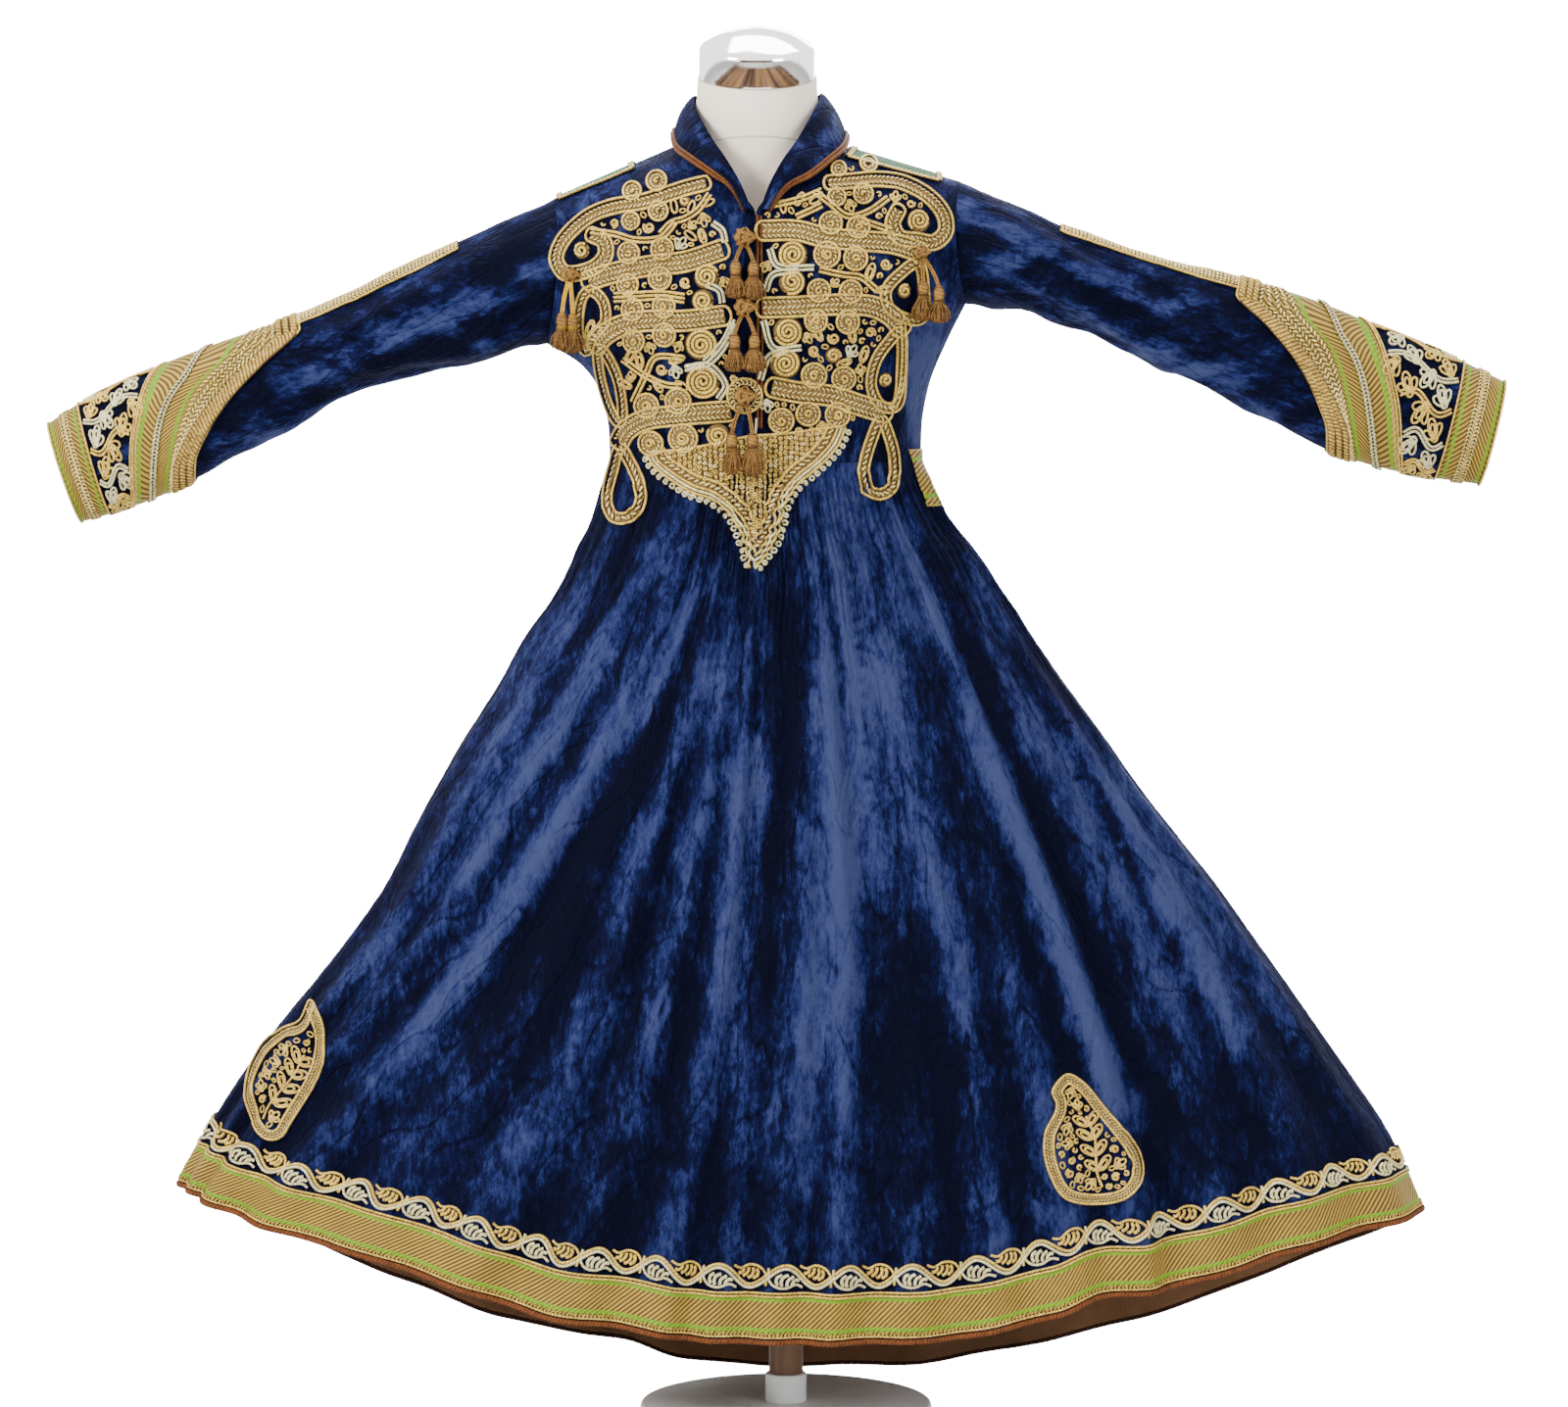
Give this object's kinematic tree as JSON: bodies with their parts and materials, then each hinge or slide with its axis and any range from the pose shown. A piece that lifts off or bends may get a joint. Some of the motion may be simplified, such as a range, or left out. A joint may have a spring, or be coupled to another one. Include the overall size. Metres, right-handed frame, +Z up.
{
  "type": "afghan wedding dress on a dress form",
  "caption": "Long-sleeved velvet wedding dress with fold-over collar, gathered flared skirt, gold braid and tassels, worn on a limbless dress form with a round base.",
  "frame": {"origin": "centre of the underside of the stand's base, on the floor", "axes": "+Z up, -Y out of the dress's front, +X towards the viewer's right"},
  "size_m": [1.4913, 0.374, 1.4291],
  "materials": {
    "velvet": "crushed pile velvet",
    "gold_braid": "couched metallic cord",
    "silver_braid": "couched metallic cord",
    "gold_ribbon": "twill-woven metallic ribbon with green lines",
    "copper_piping": "metallic cord",
    "rust_piping": "worn cotton piping",
    "brown_lining": "plain cotton",
    "green_silk": "silk with metallic borders",
    "tassel_thread": "twisted silk thread",
    "form_cover": "smooth stretched jersey",
    "neck_chrome": "polished",
    "stand_wood": "stained",
    "stand_base": "satin white"
  },
  "bodies": {
    "root": {"bodice_front_left": "velvet", "bodice_front_right": "velvet", "bodice_back": "velvet", "sleeve_left": "velvet", "sleeve_right": "velvet", "skirt_front": "velvet", "skirt_back": "velvet", "collar": "velvet", "cuff_left": "gold_braid", "cuff_right": "gold_braid", "sleeve_braid_left": "gold_braid", "sleeve_braid_right": "gold_braid", "paisley_left": "gold_braid", "paisley_right": "gold_braid", "frog_bar_left_1": "gold_braid", "frog_bar_left_2": "gold_braid", "frog_bar_left_3": "gold_braid", "frog_bar_left_4": "gold_braid", "frog_bar_right_1": "gold_braid", "frog_bar_right_2": "gold_braid", "frog_bar_right_3": "gold_braid", "frog_bar_right_4": "gold_braid", "frog_loop_left_1": "gold_braid", "frog_loop_left_2": "gold_braid", "frog_loop_left_3": "gold_braid", "frog_loop_left_4": "gold_braid", "frog_loop_right_1": "gold_braid", "frog_loop_right_2": "gold_braid", "frog_loop_right_3": "gold_braid", "frog_loop_right_4": "gold_braid", "waist_point_left": "gold_braid", "waist_point_right": "gold_braid", "hem_vine_front": "silver_braid", "hem_vine_back": "silver_braid", "hem_ribbon_front": "gold_ribbon", "hem_ribbon_back": "gold_ribbon", "waist_belt": "gold_ribbon", "front_edging": "copper_piping", "collar_piping": "copper_piping", "hem_piping_front": "rust_piping", "hem_piping_back": "rust_piping", "hem_lining_back": "brown_lining", "shoulder_panel_left": "green_silk", "shoulder_panel_right": "green_silk", "knot_centre_1": "tassel_thread", "knot_centre_2": "tassel_thread", "knot_centre_3": "tassel_thread", "knot_side_left": "tassel_thread", "knot_side_right": "tassel_thread", "tassels_centre_1": "tassel_thread", "tassels_centre_2": "tassel_thread", "tassels_centre_3": "tassel_thread", "tassels_side_left": "tassel_thread", "tassels_side_right": "tassel_thread", "form_torso": "form_cover", "neck_cap": "neck_chrome", "form_pole": "stand_wood", "form_base": "stand_base"}
  },
  "joints": []
}
